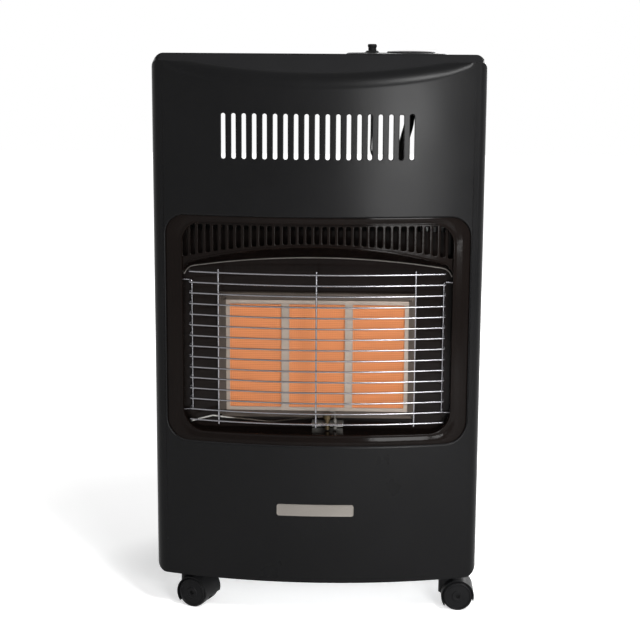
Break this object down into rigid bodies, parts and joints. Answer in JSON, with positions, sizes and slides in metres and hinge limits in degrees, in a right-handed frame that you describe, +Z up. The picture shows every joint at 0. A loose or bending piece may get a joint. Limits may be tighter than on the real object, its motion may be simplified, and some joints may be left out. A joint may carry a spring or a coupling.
{
  "type": "gas cabinet heater",
  "caption": "Portable gas cabinet heater: bowed steel cabinet on swivel casters, ceramic radiant burners behind a wire guard, top control knob, igniter and hinged rear cover.",
  "frame": {"origin": "on the floor under the middle of the object's bounding box", "axes": "+Z up, the bowed front faces -Y, +X to the right as seen from the front"},
  "size_m": [0.42, 0.4, 0.7375],
  "materials": {
    "black_paint": "satin textured powder coat",
    "galvanised": "galvanised",
    "brown_enamel": "gloss enamel",
    "heat_black": "semi-gloss stove enamel",
    "chrome_wire": "bright chrome",
    "aluminised_steel": "matt aluminised",
    "plaque_ceramic": "matt, finely perforated",
    "fibre_seal": "soft fibre",
    "white_ceramic": "smooth",
    "brass_fittings": "turned",
    "spring_steel": "drawn wire",
    "aluminium_pipe": "drawn tube",
    "black_plastic": "fine satin",
    "wheel_plastic": "hard tread",
    "silicone_lead": "silicone sleeve",
    "hose_rubber": "matt rubber",
    "zinc_casting": "grey painted casting"
  },
  "bodies": {
    "cabinet": {"front_panel": "black_paint", "left_side": "black_paint", "right_side": "black_paint", "top_panel": "black_paint", "badge_plate": "black_paint", "base_plate": "galvanised", "inner_partition": "galvanised", "valve_bracket": "galvanised", "hinge_rod": "galvanised", "base_screws": "galvanised", "hose_clamps": "galvanised", "pilot_bracket": "galvanised", "injector_rail": "galvanised", "surround": "brown_enamel", "reflector": "heat_black", "wire_guard": "chrome_wire", "burner_left": "aluminised_steel", "burner_centre": "aluminised_steel", "burner_right": "aluminised_steel", "burner_frame": "aluminised_steel", "pilot_burner": "aluminised_steel", "ceramic_plaque_left": "plaque_ceramic", "ceramic_plaque_centre": "plaque_ceramic", "ceramic_plaque_right": "plaque_ceramic", "plaque_gaskets": "fibre_seal", "spark_electrode": "white_ceramic", "injectors": "brass_fittings", "valve_body": "brass_fittings", "inlet_nozzle": "brass_fittings", "valve_spring": "spring_steel", "pipe_sides": "aluminium_pipe", "pipe_centre": "aluminium_pipe", "pipe_pilot": "aluminium_pipe", "thermocouple_lead": "aluminium_pipe", "control_bezel": "black_plastic", "igniter_nut": "black_plastic", "piezo_body": "black_plastic", "caster_sockets": "black_plastic", "igniter_lead": "silicone_lead", "gas_hose": "hose_rubber", "regulator_body": "zinc_casting"},
    "rear_cover": {"rear_cover": "black_paint"},
    "plunger": {"valve_plunger": "brass_fittings"},
    "knob": {"spindle": "brass_fittings", "control_knob": "black_plastic"},
    "igniter": {"igniter_button": "black_plastic"},
    "tap": {"regulator_tap": "black_plastic"},
    "fork_front_left": {"caster_fork_front_left": "black_plastic"},
    "wheels_front_left": {"caster_wheels_front_left": "wheel_plastic"},
    "fork_front_right": {"caster_fork_front_right": "black_plastic"},
    "wheels_front_right": {"caster_wheels_front_right": "wheel_plastic"},
    "fork_rear_left": {"caster_fork_rear_left": "black_plastic"},
    "wheels_rear_left": {"caster_wheels_rear_left": "wheel_plastic"},
    "fork_rear_right": {"caster_fork_rear_right": "black_plastic"},
    "wheels_rear_right": {"caster_wheels_rear_right": "wheel_plastic"}
  },
  "joints": [
    {"name": "swivel_front_left", "type": "hinge", "parent": "cabinet", "child": "fork_front_left", "pos_m": [-0.172, -0.14, 0.048], "axis": [0, 0, 1], "continuous": true},
    {"name": "roll_front_left", "type": "hinge", "parent": "fork_front_left", "child": "wheels_front_left", "pos_m": [-0.15717, -0.14599, 0.02], "axis": [-0.3746, -0.9272, 0], "continuous": true},
    {"name": "swivel_front_right", "type": "hinge", "parent": "cabinet", "child": "fork_front_right", "pos_m": [0.172, -0.14, 0.048], "axis": [0, 0, 1], "continuous": true},
    {"name": "roll_front_right", "type": "hinge", "parent": "fork_front_right", "child": "wheels_front_right", "pos_m": [0.188, -0.14, 0.02], "axis": [0, -1, 0], "continuous": true},
    {"name": "swivel_rear_left", "type": "hinge", "parent": "cabinet", "child": "fork_rear_left", "pos_m": [-0.165, 0.15, 0.048], "axis": [0, 0, 1], "continuous": true},
    {"name": "roll_rear_left", "type": "hinge", "parent": "fork_rear_left", "child": "wheels_rear_left", "pos_m": [-0.14924, 0.14722, 0.02], "axis": [-0.1736, -0.9848, 0], "continuous": true},
    {"name": "swivel_rear_right", "type": "hinge", "parent": "cabinet", "child": "fork_rear_right", "pos_m": [0.165, 0.15, 0.048], "axis": [0, 0, 1], "continuous": true},
    {"name": "roll_rear_right", "type": "hinge", "parent": "fork_rear_right", "child": "wheels_rear_right", "pos_m": [0.18084, 0.15223, 0.02], "axis": [0.1392, -0.9903, 0], "continuous": true},
    {"name": "valve_push", "type": "slide", "parent": "cabinet", "child": "plunger", "axis": [0, 0, -1], "range_m": [0, 0.004], "stiffness_N_per_m": 400, "springref_m": -0.008, "deforming": ["valve_spring"]},
    {"name": "knob_turn", "type": "hinge", "parent": "plunger", "child": "knob", "pos_m": [0.118, -0.015, 0.72], "axis": [0, 0, -1], "range_deg": [0, 240]},
    {"name": "igniter_push", "type": "slide", "parent": "cabinet", "child": "igniter", "axis": [0, 0, -1], "range_m": [0, 0.007], "stiffness_N_per_m": 1500, "springref_m": -0.002},
    {"name": "rear_cover_hinge", "type": "hinge", "parent": "cabinet", "child": "rear_cover", "pos_m": [0, 0.1964, 0.062], "axis": [-1, 0, 0], "range_deg": [0, 85]},
    {"name": "regulator_tap_turn", "type": "hinge", "parent": "cabinet", "child": "tap", "pos_m": [0.178, 0.1, 0.09], "axis": [0, 0, 1], "range_deg": [0, 90]}
  ]
}
